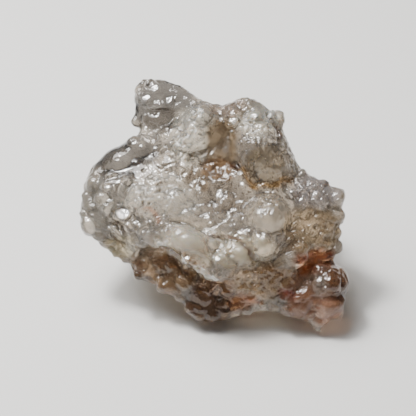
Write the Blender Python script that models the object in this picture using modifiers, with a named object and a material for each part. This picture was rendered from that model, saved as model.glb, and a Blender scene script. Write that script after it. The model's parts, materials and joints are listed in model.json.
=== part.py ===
"""A hyalite opal specimen: one loose mass of glassy, lumpy opal that rests on its underside.

The mass grew as one piece, so it is one solid. Its growth face is the crust of rounded lumps that
leans back from the viewer. Every lump is placed on that face by three distances in millimetres:
across (to the right), up (up the face) and out (out of the face). The lumps run together in one
skin, which is then roughened, pitted and cut flat where it rests.
"""

import math
import random

import bmesh
import bpy
from mathutils import Matrix, Vector

MM = 0.001

# Driving dimensions
FACE_LEAN = math.radians(50)  # the growth face, turned back from lying level
REST_LEVEL = -12.9 * MM  # height of the resting flats, before the mass is stood on the ground
JOIN_VOXEL = 0.34 * MM  # lumps closer than this run together
CARVE_VOXEL = 0.32 * MM
SWELL_DEPTH = 0.22 * MM  # broad unevenness of the skin
SWELL_SIZE = 2.6 * MM
MOST_TRIANGLES = 9600
LUMP_FACETS = 3  # subdivisions of each lump's sphere

# Each lump is (across, up, out, radius across, radius up, radius out, turn), in millimetres and
# degrees. The turn is counter-clockwise as the face is seen.
BODY = [
    (0.8, -1.8, -2.9, 9.2, 5.0, 5.6, -14),
    (-9.0, 0.6, -2.4, 6.5, 5.2, 4.1, 12),
    (4.4, 6.2, -2.4, 4.9, 5.4, 4.7, 0),
    (-2.8, 6.6, -2.6, 4.6, 5.0, 3.7, 0),
    (10.8, -1.0, -2.4, 4.5, 4.4, 3.7, 0),
    (1.6, -8.4, -3.2, 6.4, 4.6, 4.1, 0),
    (11.6, -10.4, -1.8, 3.4, 3.0, 2.4, 0),
    (12.6, -6.2, -1.7, 2.4, 1.9, 1.7, 0),
    (0.4, -0.6, -7.2, 10.0, 6.9, 6.2, -12),
    (-7.0, 1.0, -7.4, 4.8, 4.6, 4.2, 0),
    (8.0, -2.0, -7.0, 4.6, 4.8, 4.2, 0),
]

# Rounded feet under the back and the front, which the mass stands on
FEET = [
    (-6.0, -4.4, -10.3, 3.2, 3.2, 3.6, 0),
    (6.3, -4.6, -9.9, 3.2, 3.2, 3.6, 0),
    (0.6, -12.1, -3.2, 2.6, 2.1, 2.5, 0),
    (10.4, -12.5, -2.9, 2.1, 1.7, 2.3, 0),
]

# The clear, pebbly horn at the upper left and its neck
HORN = [
    (-7.7, 14.1, -3.0, 1.8, 1.8, 1.9, 0),
    (-9.5, 13.8, -3.2, 0.85, 1.75, 1.4, 0),
    (-9.0, 15.5, -3.1, 0.65, 0.95, 0.65, 0),
    (-6.9, 14.9, -3.2, 1.8, 1.1, 1.5, -6),
    (-5.0, 14.0, -2.9, 1.7, 1.3, 1.6, -25),
    (-3.5, 13.2, -2.9, 1.4, 1.15, 1.5, -30),
    (-2.2, 12.6, -2.4, 1.2, 1.0, 1.4, -20),
    (-5.9, 12.4, -2.3, 2.4, 0.6, 1.4, -4),
    (-6.9, 10.9, -3.7, 2.4, 1.5, 1.3, 0),
    (-4.5, 11.1, -3.8, 1.7, 1.6, 1.4, 0),
    (-9.6, 10.8, -3.2, 0.85, 0.95, 0.95, 0),
    (-8.2, 11.8, -2.6, 0.9, 0.6, 0.9, 0),
    (-7.2, 9.3, -3.4, 2.4, 1.5, 1.7, 0),
    (-4.6, 9.2, -3.0, 1.9, 1.7, 2.0, 0),
]

# The smooth left shoulder, sloping away behind
SHOULDER = [
    (-11.8, 5.0, -1.9, 3.6, 2.5, 2.6, 28),
    (-9.5, 6.7, -2.0, 2.8, 2.2, 2.3, 15),
    (-14.3, 3.3, -1.9, 1.7, 2.0, 2.0, 25),
    (-9.5, 7.5, -0.8, 0.9, 0.8, 0.9, 0),
    (-7.2, 6.4, -1.5, 1.4, 1.8, 1.5, 0),
]

# The rounded left end, the pale rim lobe under it, its blade, facet and two beads
LEFT_END = [
    (-15.0, 2.2, -1.1, 1.8, 1.8, 1.7, 0),
    (-15.3, -0.2, -0.8, 1.7, 1.7, 1.9, 0),
    (-15.3, -2.3, -0.7, 1.8, 1.9, 1.8, 0),
    (-13.9, -3.0, -0.6, 1.6, 1.4, 1.6, 0),
    (-13.0, -4.2, -0.8, 1.2, 1.1, 1.3, 0),
    (-11.7, -5.4, -0.6, 1.9, 1.1, 1.3, -35),
    (-10.9, -6.1, -0.5, 1.2, 1.0, 1.2, 0),
    (-13.4, 2.2, 0.1, 1.3, 1.6, 1.6, 0),
    (-13.2, -0.2, 0.4, 1.5, 1.9, 1.8, 0),
    (-14.4, -2.3, 0.1, 1.5, 1.4, 1.6, 0),
    (-12.1, -3.5, 0.8, 1.5, 0.45, 1.1, -38),
    (-11.4, -1.1, 1.6, 1.0, 1.1, 1.3, 0),
    (-10.2, -2.6, 1.9, 1.1, 1.1, 1.2, 0),
    (-9.4, 0.4, 2.0, 1.3, 1.2, 1.5, 0),
]

# The whitish lobes between the horn and the basin
UPPER_LEFT = [
    (-2.0, 10.8, -0.1, 2.0, 1.6, 2.2, 0),
    (-1.2, 12.0, -1.6, 1.8, 1.0, 1.5, 0),
    (-2.4, 8.3, 0.8, 1.7, 1.5, 2.0, 0),
    (-4.0, 7.1, 0.8, 1.3, 1.3, 1.7, 0),
    (-3.9, 4.6, 1.5, 1.15, 1.3, 1.6, 0),
    (-5.9, 8.1, -0.7, 1.4, 1.7, 1.8, 0),
    (-5.9, 5.0, 0.4, 1.5, 1.6, 1.6, 0),
    (-7.6, 4.4, 0.1, 1.6, 1.3, 1.6, 0),
]

# The brown basin, lower than the lobes round it
BASIN = [
    (0.9, 9.6, -0.6, 1.9, 2.0, 1.9, 0),
    (0.4, 7.9, -0.4, 2.0, 1.7, 1.8, 0),
    (-0.1, 6.0, 0.5, 1.7, 1.2, 1.6, 0),
    (1.6, 6.9, -0.1, 1.4, 1.8, 1.5, 0),
    (0.9, 4.4, 0.5, 2.1, 1.1, 1.5, 0),
    (-1.9, 3.4, 1.4, 1.6, 1.0, 1.4, 0),
    (-1.3, 1.9, 1.9, 1.3, 1.1, 1.5, 0),
    (1.0, 3.0, 1.6, 1.2, 1.15, 1.5, 0),
    (2.1, 4.0, 1.8, 0.65, 0.65, 0.8, 0),
    (2.8, 3.0, 2.1, 1.0, 1.1, 1.3, 0),
    (3.9, 1.9, 2.4, 1.2, 1.0, 1.4, 0),
    (5.0, 1.5, 1.6, 1.2, 1.1, 1.5, 0),
    (1.1, 0.8, 2.5, 1.1, 1.0, 1.4, 0),
]

# The large dome at the upper right: its core, crown, flake, right slope and golden lower face
DOME = [
    (5.2, 6.8, 0.4, 3.3, 4.6, 3.6, 0),
    (4.4, 12.0, -0.8, 1.6, 1.45, 1.9, 0),
    (2.4, 11.6, -0.9, 1.8, 1.5, 1.8, 0),
    (0.9, 11.2, -1.3, 1.3, 1.4, 1.6, 0),
    (2.3, 11.0, 0.6, 1.1, 1.4, 1.6, 0),
    (5.8, 11.0, -0.4, 1.4, 1.5, 1.8, 0),
    (5.0, 10.0, 1.2, 1.8, 1.4, 1.8, 0),
    (7.5, 10.6, -0.7, 0.9, 1.35, 1.0, 12),
    (8.1, 9.2, -0.8, 0.55, 1.4, 0.9, 5),
    (6.8, 8.7, 0.8, 1.1, 1.3, 1.8, 0),
    (8.2, 7.2, -0.7, 1.35, 1.8, 1.9, 10),
    (8.8, 5.6, -0.7, 1.4, 1.6, 1.8, 10),
    (9.6, 4.3, -0.5, 1.3, 1.2, 1.6, 0),
    (11.0, 3.6, -0.3, 0.95, 0.9, 1.1, 0),
    (4.4, 5.9, 1.4, 1.9, 3.0, 2.4, 0),
    (6.9, 4.6, 1.7, 2.4, 2.0, 2.5, 0),
    (4.0, 4.1, 1.6, 1.5, 1.8, 2.0, 0),
    (9.2, 5.0, 0.8, 0.6, 1.7, 1.2, 5),
    (7.5, 2.3, 1.6, 1.7, 0.8, 1.3, 0),
    (7.2, 1.6, 0.8, 2.3, 1.3, 1.9, 0),
    (9.4, 2.9, 0.2, 1.3, 1.2, 1.6, 0),
]

# The rough grey-white band across the middle
BAND = [
    (-12.2, 2.4, 0.4, 1.4, 1.5, 1.7, 0),
    (-10.4, 3.0, 0.7, 1.4, 1.3, 1.7, 0),
    (-8.7, 2.6, 1.2, 1.2, 1.2, 1.7, 0),
    (-9.2, 4.2, 0.0, 1.6, 1.2, 1.6, 10),
    (-7.0, 2.9, 1.3, 1.2, 1.2, 1.7, 0),
    (-5.2, 2.4, 1.7, 1.2, 1.3, 1.7, 0),
    (-3.8, 3.1, 1.5, 1.2, 1.1, 1.6, 0),
    (-11.2, 1.1, 1.0, 1.2, 1.3, 1.6, 0),
    (-9.4, 0.5, 2.2, 1.35, 1.35, 1.6, 0),
    (-7.6, 1.1, 2.4, 1.2, 1.2, 1.6, 0),
    (-6.1, 0.2, 2.9, 1.25, 1.2, 1.6, 0),
    (-4.5, 0.9, 2.7, 1.3, 1.25, 1.6, 0),
    (-2.9, 1.4, 1.9, 1.1, 1.1, 1.5, 0),
    (-1.5, 0.4, 2.1, 1.1, 1.1, 1.5, 0),
    (-0.1, 0.9, 1.8, 1.0, 1.1, 1.4, 0),
    (1.2, 0.2, 1.9, 1.1, 1.2, 1.5, 0),
    (2.8, 0.4, 2.0, 1.2, 1.2, 1.5, 0),
    (-9.4, -1.4, 1.0, 1.4, 1.2, 1.4, 0),
    (-8.1, -1.0, 2.1, 1.1, 1.2, 1.5, 0),
    (-6.7, -1.4, 2.4, 1.2, 1.1, 1.5, 0),
    (-5.0, -0.9, 2.7, 1.2, 1.2, 1.6, 0),
    (-3.4, -1.2, 2.8, 1.2, 1.1, 1.6, 0),
    (-1.8, -1.8, 2.7, 1.1, 1.1, 1.5, 0),
    (-0.3, -1.1, 2.3, 1.1, 1.2, 1.5, 0),
    (1.1, -1.6, 2.6, 1.1, 1.1, 1.5, 0),
    (2.5, -1.1, 2.3, 1.2, 1.2, 1.5, 0),
    (3.5, -2.1, 2.9, 1.2, 1.1, 1.5, 0),
    (0.2, -2.9, 2.9, 1.0, 1.0, 1.4, 0),
    (1.9, -2.9, 3.1, 1.1, 1.1, 1.4, 0),
    (4.9, -3.0, 2.9, 1.1, 1.0, 1.5, 0),
]

# The smooth cream bulge right of the middle, with a rough crown, and the hollow strip beside it
CREAM_BULGE = [
    (6.6, -1.5, 3.8, 2.4, 2.2, 2.9, 0),
    (6.6, 0.3, 3.9, 2.0, 0.95, 1.7, 0),
    (4.5, -0.7, 2.9, 1.1, 1.3, 1.6, 0),
    (9.2, -1.2, 1.5, 0.95, 2.2, 1.4, 0),
]

# The shelf of cream lobes along the front, which overhangs the brown part below it
SHELF = [
    (-3.7, -4.3, 4.2, 2.6, 1.7, 2.4, -12),
    (-2.1, -5.9, 4.1, 1.9, 1.7, 2.2, -30),
    (-5.4, -3.8, 3.1, 1.5, 1.3, 1.8, 0),
    (-7.4, -4.1, 2.8, 0.9, 1.2, 1.3, 0),
    (-8.9, -4.1, 2.4, 0.85, 0.95, 1.1, 0),
    (-10.2, -4.7, 1.2, 0.85, 1.3, 1.2, 0),
    (-8.1, -2.6, 2.4, 1.2, 0.95, 1.3, 0),
    (-6.2, -2.5, 3.0, 1.5, 0.9, 1.4, 0),
    (-1.6, -7.5, 4.0, 1.4, 0.9, 1.4, -35),
    (1.3, -7.1, 3.9, 1.7, 1.9, 2.0, 0),
    (0.4, -8.5, 3.8, 1.7, 0.8, 1.3, -8),
    (-0.5, -4.3, 3.0, 1.4, 1.3, 1.7, 0),
    (0.9, -4.1, 3.3, 1.0, 1.0, 1.3, 0),
    (2.3, -5.4, 3.8, 1.6, 1.4, 1.9, 0),
    (4.0, -4.0, 3.3, 1.3, 1.2, 1.7, 0),
    (3.6, -6.5, 3.9, 1.1, 1.5, 1.6, 0),
    (6.0, -4.5, 4.0, 1.8, 1.8, 2.2, 0),
    (5.9, -5.6, 3.8, 1.5, 1.1, 1.7, 0),
    (7.9, -4.1, 3.3, 1.1, 1.2, 1.5, 0),
    (7.8, -5.6, 2.1, 1.3, 1.1, 1.6, 0),
    (9.2, -4.1, 3.3, 1.0, 0.4, 1.0, 28),
    (5.9, -7.9, 2.8, 1.9, 0.95, 1.4, 0),
    (8.4, -7.1, 2.5, 1.6, 1.1, 1.5, 0),
    (9.9, -6.0, 2.5, 1.7, 1.9, 1.8, 0),
]

# The glinting lobes of the right end
RIGHT_END = [
    (12.0, 2.4, 0.3, 1.6, 1.2, 1.5, -15),
    (10.4, 2.7, 0.7, 1.1, 1.1, 1.3, 0),
    (9.4, 1.4, 1.5, 1.0, 1.05, 1.3, 0),
    (10.9, 1.2, 1.3, 1.0, 1.0, 1.3, 0),
    (12.5, 0.8, 1.3, 1.2, 1.1, 1.6, 0),
    (11.4, -0.3, 1.6, 1.1, 0.95, 1.3, 0),
    (10.2, 0.1, 2.0, 0.7, 0.7, 0.8, 0),
    (14.6, 0.8, -0.2, 1.65, 1.5, 1.8, 0),
    (13.7, 1.7, 0.0, 1.2, 1.2, 1.5, 0),
    (13.4, -0.8, 0.9, 1.0, 0.9, 1.4, 0),
    (14.9, -1.6, 0.3, 1.3, 1.1, 1.5, 0),
    (12.2, -1.8, 1.4, 1.1, 1.1, 1.4, 0),
    (10.6, -1.6, 1.6, 1.0, 1.0, 1.3, 0),
    (13.7, -2.7, 0.6, 1.2, 1.2, 1.5, 0),
    (14.6, -3.4, 0.1, 1.1, 1.3, 1.4, 0),
    (10.5, -3.2, 1.8, 1.1, 1.1, 1.4, 0),
    (11.9, -3.2, 1.5, 1.0, 1.1, 1.4, 0),
    (13.1, -4.1, 1.1, 1.0, 1.1, 1.4, 0),
    (11.4, -4.7, 1.7, 1.0, 1.0, 1.3, 0),
    (12.7, -5.1, 1.3, 1.0, 0.75, 1.2, 0),
    (15.0, -5.0, 0.2, 0.8, 1.0, 1.1, 0),
    (14.2, -4.6, 0.5, 0.9, 1.0, 1.2, 0),
    (14.4, -6.4, -0.4, 0.8, 0.9, 1.0, 0),
]

# The rusty lobe at the lower right, with a glossy crown and a small tip below
RUSTY_LOBE = [
    (13.1, -7.2, -1.0, 1.8, 1.3, 1.3, 0),
    (11.5, -8.0, -0.7, 1.2, 1.2, 1.4, 0),
    (13.8, -9.4, 1.5, 1.6, 2.0, 2.0, -20),
    (15.5, -9.6, 0.1, 1.3, 2.1, 1.9, 5),
    (14.1, -12.4, 0.6, 2.1, 2.0, 2.0, 0),
    (15.4, -13.4, 0.1, 0.95, 1.05, 1.2, 0),
    (9.8, -12.2, 0.4, 2.2, 2.0, 1.9, 0),
    (11.4, -11.2, 0.9, 1.6, 1.7, 1.7, 0),
    (11.0, -9.4, 0.4, 1.3, 1.5, 1.5, 0),
    (12.8, -15.0, 0.0, 0.6, 0.95, 0.7, 0),
    (12.9, -14.2, 0.0, 1.2, 1.0, 1.1, 0),
    (11.3, -13.6, 0.1, 1.4, 1.0, 1.3, 0),
]

# The brown and amber part below the shelf
UNDERSHELF = [
    (-9.0, -7.9, -0.3, 1.6, 1.4, 1.6, 0),
    (-8.4, -5.9, -0.3, 1.6, 1.3, 1.4, 0),
    (-6.9, -7.1, 0.0, 1.7, 1.4, 1.4, 0),
    (-5.6, -6.0, -0.6, 2.4, 1.6, 1.8, -20),
    (-8.0, -9.1, -0.2, 1.4, 0.9, 1.3, -15),
    (-5.9, -10.1, 0.0, 1.4, 1.3, 1.4, 0),
    (-5.0, -7.9, 0.2, 1.8, 1.4, 1.4, 0),
    (-3.8, -9.4, 0.4, 1.6, 1.4, 1.5, 0),
    (-4.1, -11.4, -0.4, 1.2, 1.1, 1.3, 0),
    (-1.3, -12.6, -0.7, 2.3, 2.1, 2.0, 0),
    (1.0, -12.6, -0.5, 2.0, 2.0, 1.9, 0),
    (-2.4, -13.4, -0.8, 1.1, 1.2, 1.3, 0),
    (-1.5, -10.9, 0.3, 1.6, 1.2, 1.5, 0),
    (0.0, -9.8, 0.8, 1.9, 1.1, 1.5, 0),
    (2.5, -10.0, 1.4, 1.5, 1.2, 1.5, 0),
    (3.7, -12.2, -0.2, 1.9, 1.6, 1.6, 0),
    (6.0, -12.1, -0.1, 1.6, 1.45, 1.5, 0),
    (7.6, -12.3, 0.1, 1.3, 1.3, 1.5, 0),
    (4.4, -8.5, 2.2, 1.5, 1.0, 1.5, 0),
    (2.8, -8.5, 2.1, 1.2, 1.1, 1.5, 0),
    (6.6, -9.2, 1.9, 1.7, 1.1, 1.5, 0),
    (8.8, -9.0, 1.5, 1.4, 1.2, 1.5, 0),
    (5.0, -10.6, 1.2, 1.6, 1.1, 1.4, 0),
    (7.3, -10.7, 1.1, 1.5, 1.1, 1.4, 0),
    (9.4, -10.3, 1.2, 1.0, 0.9, 1.3, 0),
]

GROWTH = [
    *BODY,
    *FEET,
    *HORN,
    *SHOULDER,
    *LEFT_END,
    *UPPER_LEFT,
    *BASIN,
    *DOME,
    *BAND,
    *CREAM_BULGE,
    *SHELF,
    *RIGHT_END,
    *RUSTY_LOBE,
    *UNDERSHELF,
]

# Hollows taken out of the skin, written as the lumps are
HOLLOWS = [
    (2.5, 5.0, 2.4, 0.5, 0.55, 1.9, 0),  # the dark pit beside the dome
    (12.2, -6.8, 1.8, 1.2, 0.75, 1.7, 40),  # the rusty cleft above the glossy crown
    (-4.7, -7.1, 3.5, 2.7, 0.8, 1.9, -42),  # the undercut below the left of the shelf
    (7.75, 8.7, 0.9, 0.32, 1.0, 1.5, 12),  # the slit behind the flake on the dome
    (15.0, -0.25, 1.4, 1.2, 0.3, 1.1, -8),  # the crack in the right end
    (0.8, -3.9, 4.9, 0.45, 0.45, 1.5, 0),  # the dark spot between two lobes of the shelf
]

# Rounded lumps over the hidden back, evenly set on half an ellipsoid, in millimetres
BACK_LUMPS = 44
BACK_MIDDLE = (0.2, -0.6, -5.8)  # across, up and out
BACK_REACH = (11.2, 7.0, 6.2)  # across, up and to the rear
BACK_RADII = (1.3, 3.3)
BACK_FLATNESS = (0.7, 1.0)  # a lump's radius up, as a share of its radius across
BACK_STRAY = 0.8  # how far a lump may lie off its even place
BACK_SEED = 7


def clear_scene():
    for old in list(bpy.data.objects):
        bpy.data.objects.remove(old)


def opal_material():
    """Milky, nearly colourless opal."""
    opal = bpy.data.materials.new("opal")
    opal.use_nodes = True
    shader = opal.node_tree.nodes["Principled BSDF"]
    shader.inputs["Base Color"].default_value = (0.62, 0.55, 0.46, 1)
    shader.inputs["Roughness"].default_value = 0.18
    shader.inputs["Metallic"].default_value = 0.0
    shader.inputs["IOR"].default_value = 1.45
    shader.inputs["Transmission Weight"].default_value = 0.5
    return opal


def back_lumps():
    """Lumps spread over the back of the body, in a spiral from its rim to the middle of the back."""
    seeded = random.Random(BACK_SEED)
    middle_across, middle_up, middle_out = BACK_MIDDLE
    reach_across, reach_up, reach_back = BACK_REACH
    found = []
    golden_turn = math.pi * (3 - math.sqrt(5))
    for i in range(BACK_LUMPS):
        away = (i + 0.5) / BACK_LUMPS  # 0 at the rim, 1 at the middle of the back
        ring = math.sqrt(1 - away * away)
        turn = i * golden_turn
        across = ring * math.cos(turn)
        up = ring * math.sin(turn)
        radius = seeded.uniform(*BACK_RADII)
        flat = seeded.uniform(*BACK_FLATNESS)
        found.append(
            (
                middle_across + reach_across * across + seeded.uniform(-BACK_STRAY, BACK_STRAY),
                middle_up + reach_up * up + seeded.uniform(-BACK_STRAY, BACK_STRAY),
                middle_out - reach_back * away,
                radius,
                radius * flat,
                radius,
                seeded.uniform(0, 180),
            )
        )
    return found


def lumps_object(name, lumps, collection):
    """One object with a sphere for each lump, stretched to its three radii."""
    spheres = bmesh.new()
    for across, up, out, radius_across, radius_up, radius_out, turn in lumps:
        place = Matrix.Translation(Vector((across, up, out)) * MM)
        spin = Matrix.Rotation(math.radians(turn), 4, "Z")
        stretch = Matrix.Diagonal((radius_across * MM, radius_up * MM, radius_out * MM, 1))
        bmesh.ops.create_icosphere(
            spheres,
            subdivisions=LUMP_FACETS,
            radius=1,
            matrix=place @ spin @ stretch,
        )
    mesh = bpy.data.meshes.new(name)
    spheres.to_mesh(mesh)
    spheres.free()
    made = bpy.data.objects.new(name, mesh)
    collection.objects.link(made)
    return made


def add_remesh(target, voxel):
    remesh = target.modifiers.new("Remesh", "REMESH")
    remesh.mode = "VOXEL"
    remesh.voxel_size = voxel


def add_smooth(target, strength, repeats):
    smooth = target.modifiers.new("Smooth", "SMOOTH")
    smooth.factor = strength
    smooth.iterations = repeats


def add_unevenness(target, name, size, depth):
    """Pushes the skin in and out by a cloudy pattern whose features are about this size."""
    pattern = bpy.data.textures.new(name, "CLOUDS")
    pattern.noise_scale = size
    pattern.noise_depth = 1
    displace = target.modifiers.new(name, "DISPLACE")
    displace.texture = pattern
    displace.texture_coords = "LOCAL"
    displace.strength = depth * 2
    displace.mid_level = 0.5


def add_cut(target, name, cutter):
    cut = target.modifiers.new(name, "BOOLEAN")
    cut.operation = "DIFFERENCE"
    cut.object = cutter


def hide_cutter(cutter):
    cutter.hide_render = True
    cutter.display_type = "WIRE"


def triangle_count(target):
    graph = bpy.context.evaluated_depsgraph_get()
    evaluated = target.evaluated_get(graph)
    mesh = evaluated.to_mesh()
    mesh.calc_loop_triangles()
    count = len(mesh.loop_triangles)
    evaluated.to_mesh_clear()
    return count


def lowest_and_highest(target):
    """Corners of the evaluated mesh's box, in world space."""
    graph = bpy.context.evaluated_depsgraph_get()
    evaluated = target.evaluated_get(graph)
    mesh = evaluated.to_mesh()
    points = [evaluated.matrix_world @ vertex.co for vertex in mesh.vertices]
    evaluated.to_mesh_clear()
    lowest = Vector([min(p[axis] for p in points) for axis in range(3)])
    highest = Vector([max(p[axis] for p in points) for axis in range(3)])
    return lowest, highest


def ground_block(collection):
    """A block under the rest level, which cuts the flats that the mass stands on."""
    side, height = 80 * MM, 20 * MM
    bpy.ops.mesh.primitive_cube_add(size=1, location=(0, 0, REST_LEVEL - height / 2))
    block = bpy.context.object
    block.name = "ground_cutter"
    block.scale = (side, side, height)
    for holder in list(block.users_collection):
        holder.objects.unlink(block)
    collection.objects.link(block)
    return block


def main():
    clear_scene()
    scene = bpy.context.scene
    parts = bpy.data.collections.new("hyalite_opal_specimen")
    cutters = bpy.data.collections.new("cutters")
    scene.collection.children.link(parts)
    scene.collection.children.link(cutters)

    stand = bpy.data.objects.new("stand", None)
    scene.collection.objects.link(stand)
    face = bpy.data.objects.new("growth_face", None)
    face.rotation_euler = (FACE_LEAN, 0, 0)
    face.parent = stand
    scene.collection.objects.link(face)

    mass = lumps_object("hyalite_mass", GROWTH + back_lumps(), parts)
    mass.parent = face
    mass.data.materials.append(opal_material())

    hollows = lumps_object("hollow_cutter", HOLLOWS, cutters)
    hollows.parent = face
    hide_cutter(hollows)
    block = ground_block(cutters)
    block.parent = stand
    hide_cutter(block)

    add_remesh(mass, JOIN_VOXEL)
    add_cut(mass, "Hollows", hollows)
    add_remesh(mass, CARVE_VOXEL)
    add_smooth(mass, 0.5, 1)
    add_unevenness(mass, "Swell", SWELL_SIZE, SWELL_DEPTH)
    add_remesh(mass, CARVE_VOXEL)
    add_smooth(mass, 0.4, 1)
    thin_out = mass.modifiers.new("Decimate", "DECIMATE")
    thin_out.ratio = MOST_TRIANGLES / triangle_count(mass)
    add_cut(mass, "Rest", block)

    # The origin is on the ground, under the middle of the mass
    lowest, highest = lowest_and_highest(mass)
    middle = (lowest + highest) / 2
    stand.location = (-middle.x, -middle.y, -lowest.z)
    bpy.context.view_layer.update()


main()
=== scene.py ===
# Hyalite opal specimen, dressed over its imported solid, on a pale table under soft studio light.
import json
import math
import random

import bpy
import numpy as np
from mathutils import Euler, Matrix, Vector, noise
from mathutils.bvhtree import BVHTree

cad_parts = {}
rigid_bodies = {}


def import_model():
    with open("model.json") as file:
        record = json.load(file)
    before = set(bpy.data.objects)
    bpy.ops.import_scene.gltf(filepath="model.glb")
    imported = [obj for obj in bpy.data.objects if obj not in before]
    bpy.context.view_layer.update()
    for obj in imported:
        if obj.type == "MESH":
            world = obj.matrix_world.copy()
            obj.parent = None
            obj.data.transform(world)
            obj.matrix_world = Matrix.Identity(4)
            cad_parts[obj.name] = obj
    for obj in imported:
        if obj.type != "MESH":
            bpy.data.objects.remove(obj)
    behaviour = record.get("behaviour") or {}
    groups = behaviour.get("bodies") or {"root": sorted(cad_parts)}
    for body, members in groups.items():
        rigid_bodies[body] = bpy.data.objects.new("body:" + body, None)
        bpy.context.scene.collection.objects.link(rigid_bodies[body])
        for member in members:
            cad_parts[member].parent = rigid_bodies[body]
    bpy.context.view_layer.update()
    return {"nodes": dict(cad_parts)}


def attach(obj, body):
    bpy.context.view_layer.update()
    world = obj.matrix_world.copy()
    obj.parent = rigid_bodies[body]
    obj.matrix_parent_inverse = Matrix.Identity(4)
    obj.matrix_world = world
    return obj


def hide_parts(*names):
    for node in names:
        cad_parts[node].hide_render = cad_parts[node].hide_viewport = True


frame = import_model()
mm = 0.001

leanBack = math.radians(40)

# The growth face leans back by that much. Places on it are in mm: across, up and out.
face = {
    "middle": Vector((0.128, -1.459, 12.9)) * mm,
    "across": Vector((1, 0, 0)),
    "up": Vector((0, math.sin(leanBack), math.cos(leanBack))),
    "out": Vector((0, -math.cos(leanBack), math.sin(leanBack))),
    "wellInFront": 30.0,
}


def faceSpot(across, up, out=0.0):
    return face["middle"] + (face["across"] * across + face["up"] * up + face["out"] * out) * mm


def deselectAll():
    if bpy.context.object and bpy.context.object.mode != "OBJECT":
        bpy.ops.object.mode_set(mode="OBJECT")
    bpy.ops.object.select_all(action="DESELECT")


def makeActive(piece):
    deselectAll()
    piece.select_set(True)
    bpy.context.view_layer.objects.active = piece


def applyModifier(piece, kind, **settings):
    makeActive(piece)
    modifier = piece.modifiers.new(kind.title(), kind)
    for name, value in settings.items():
        setattr(modifier, name, value)
    bpy.ops.object.modifier_apply(modifier=modifier.name)


# The opal's shape
opal = {
    "mergeDistance": 0.001 * mm,
    "startVoxel": 0.26 * mm,  # smooths the solid's facets away
    "voxel": 0.155 * mm,  # the finished mesh
    "softening": 0.5,
    "startRounds": 14,  # how often the bare skin is softened, then with its lumps, then with its grain
    "lumpRounds": 7,
    "grainRounds": 1,
    "tipSoftness": 0.25,
    "mostTriangles": 190000,
    "cutTolerance": 0.0001 * mm,
    "lumpRise": 0.24,  # how far a lump stands out, as a share of its radius
    "lumpDepth": 0.8,
    "lumpFacing": 0.4,  # no lump where the skin turns further from the front than this
    "swellEdge": 1.5,  # above 1, a swelling runs out softly
    "seed": 11,
}
noise.seed_set(opal["seed"])  # so that grain and tints wander the same way each run

# Tips that stay sharp while the rest is softened: across, up and reach, mm
tips = {
    "lower tip": (12.8, -15.3, 1.6),
    "horn": (-9.3, 15.9, 1.5),
    "dome corner": (8.6, 10.9, 1.3),
    "neck": (-9.0, 10.9, 1.2),
}

# Broad soft swellings: across, up, reach across, reach up and height, mm
swells = {
    "bulge": (6.9, -1.5, 2.5, 2.2, 0.22),
    "round lobe": (5.9, -4.8, 1.7, 1.6, 0.45),
    "shelf lobe": (-2.5, -4.4, 3.3, 1.7, 0.40),
    "dome": (5.4, 6.4, 2.6, 3.0, 0.25),
    "dome's left side": (3.75, 5.0, 1.0, 2.0, 0.30),
    "right end": (15.0, 0.9, 1.6, 1.6, 0.35),
    "shoulder": (-12.0, 5.8, 2.6, 1.7, 0.35),
    "shoulder top": (-10.0, 7.6, 1.6, 1.0, 0.25),
    "horn's foot": (-7.0, 12.5, 2.0, 0.7, 0.30),
    "lower lobe": (14.4, -12.5, 1.5, 1.4, 0.35),
    "glossy crown": (14.9, -9.7, 1.7, 2.2, 0.55),
    "shelf right": (3.1, -6.0, 1.4, 1.4, 0.35),
    "band": (-8.5, 0.8, 2.6, 1.6, 0.30),
}

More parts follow.
